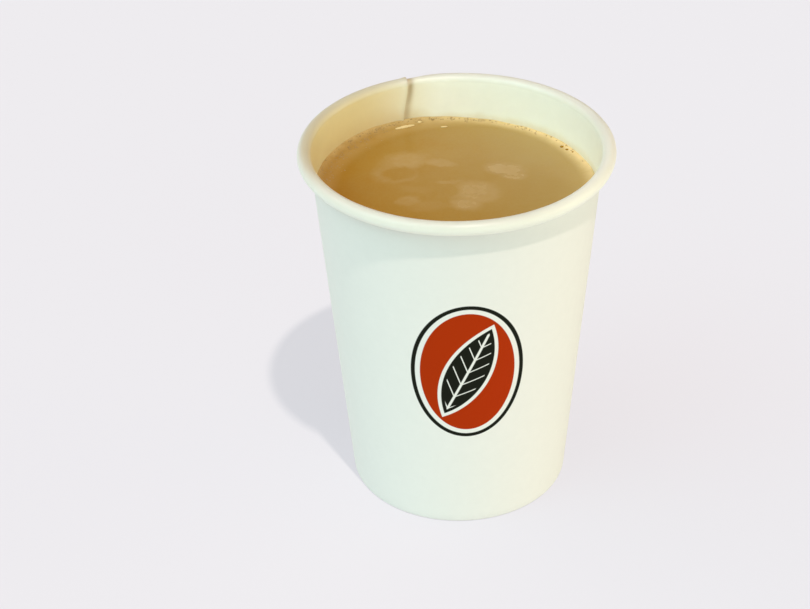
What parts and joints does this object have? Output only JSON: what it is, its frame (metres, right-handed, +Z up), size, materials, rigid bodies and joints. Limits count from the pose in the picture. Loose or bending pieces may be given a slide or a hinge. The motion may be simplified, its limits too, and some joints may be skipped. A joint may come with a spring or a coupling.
{
  "type": "masala chai in a paper cup",
  "caption": "Milky spiced tea in a tapered paper cup with a rolled rim, filled almost to the top.",
  "frame": {"origin": "centre of the cup's foot, on the table", "axes": "+Z up along the cup's axis; -Y towards the printed front; +X to the right of the front"},
  "size_m": [0.08, 0.08, 0.098],
  "materials": {
    "cup_wall": "coated paper, satin",
    "cup_base": "coated paper, satin",
    "tea": "milky tea, opaque liquid with a still, glossy surface"
  },
  "bodies": {
    "root": {"cup_wall": "cup_wall", "cup_base": "cup_base", "tea": "tea"}
  },
  "joints": []
}
